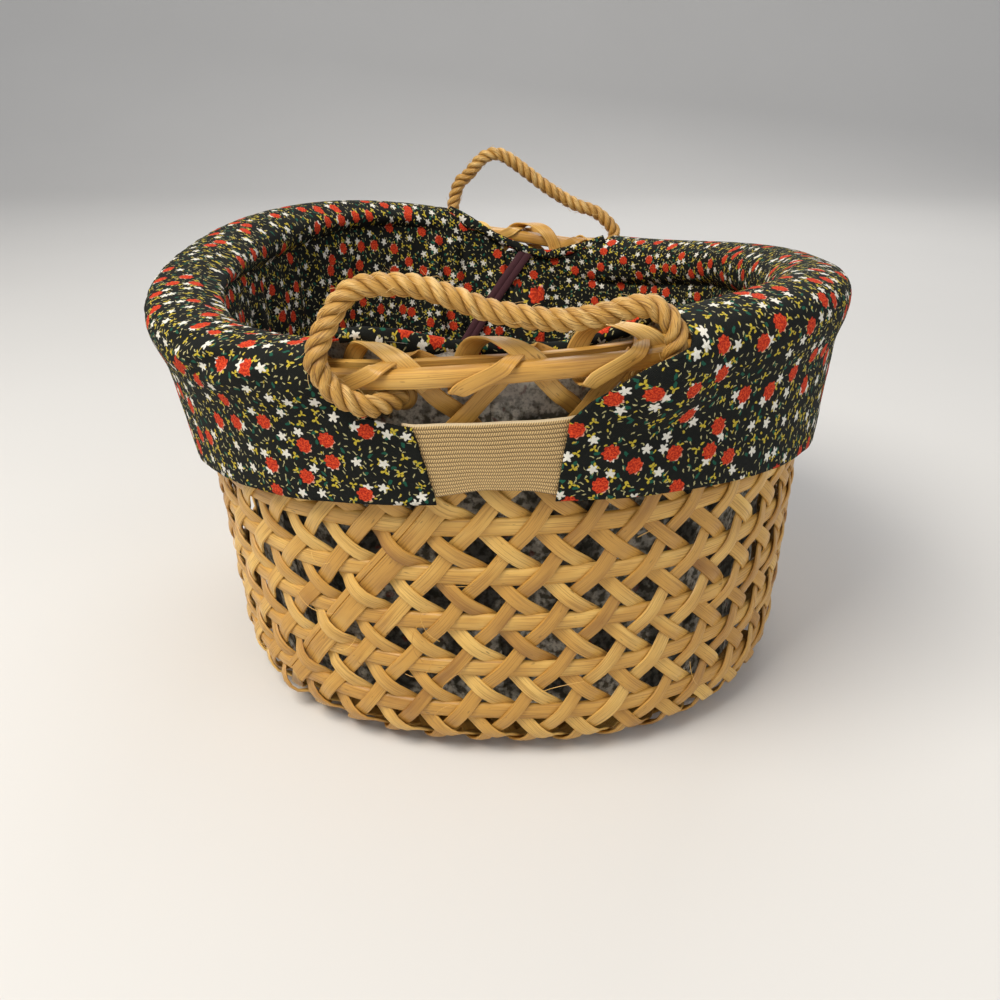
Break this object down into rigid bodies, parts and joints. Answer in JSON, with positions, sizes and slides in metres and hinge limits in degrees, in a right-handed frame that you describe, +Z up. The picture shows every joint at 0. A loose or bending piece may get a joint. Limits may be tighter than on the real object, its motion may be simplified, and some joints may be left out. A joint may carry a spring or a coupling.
{
  "type": "egg basket",
  "caption": "Oval open-weave cane basket with a printed cloth liner turned down over the rim, elastic across each end and twisted rope swing handles.",
  "frame": {"origin": "under the middle of the base, on the surface that the basket stands on", "axes": "+Z up, -Y towards the end with the lower handle, +X to the right seen from that end"},
  "size_m": [0.2739, 0.3086, 0.1882],
  "materials": {
    "cane": "satin split cane",
    "rope": "twisted fibre",
    "liner_print": "matt printed cotton",
    "elastic": "ribbed knit",
    "binding": "matt woven tape"
  },
  "bodies": {
    "basket": {"base_weave": "cane", "hoop_1": "cane", "hoop_2": "cane", "hoop_3": "cane", "hoop_4": "cane", "hoop_5": "cane", "hoop_6": "cane", "strips_right": "cane", "strips_left": "cane", "strip_doubled": "cane", "rim_outer": "cane", "rim_inner": "cane", "rim_lashing": "cane", "liner_floor": "liner_print", "liner_wall_left": "liner_print", "liner_wall_right": "liner_print", "cuff_left": "liner_print", "cuff_right": "liner_print", "liner_tab": "liner_print", "elastic_near": "elastic", "elastic_far": "elastic", "liner_binding": "binding", "handle_near_end_left": "rope", "handle_near_end_right": "rope", "handle_far_end_left": "rope", "handle_far_end_right": "rope"},
    "near_handle": {"handle_near": "rope"},
    "far_handle": {"handle_far": "rope"}
  },
  "joints": [
    {"name": "near_handle_swing", "type": "hinge", "parent": "basket", "child": "near_handle", "pos_m": [-0.00281, -0.14669, 0.15698], "axis": [0.9968, 0.0175, 0.0775], "range_deg": [-50, 105]},
    {"name": "far_handle_swing", "type": "hinge", "parent": "basket", "child": "far_handle", "pos_m": [0.0112, 0.14757, 0.15027], "axis": [0.9879, -0.1042, -0.1149], "range_deg": [-95, 60]}
  ]
}
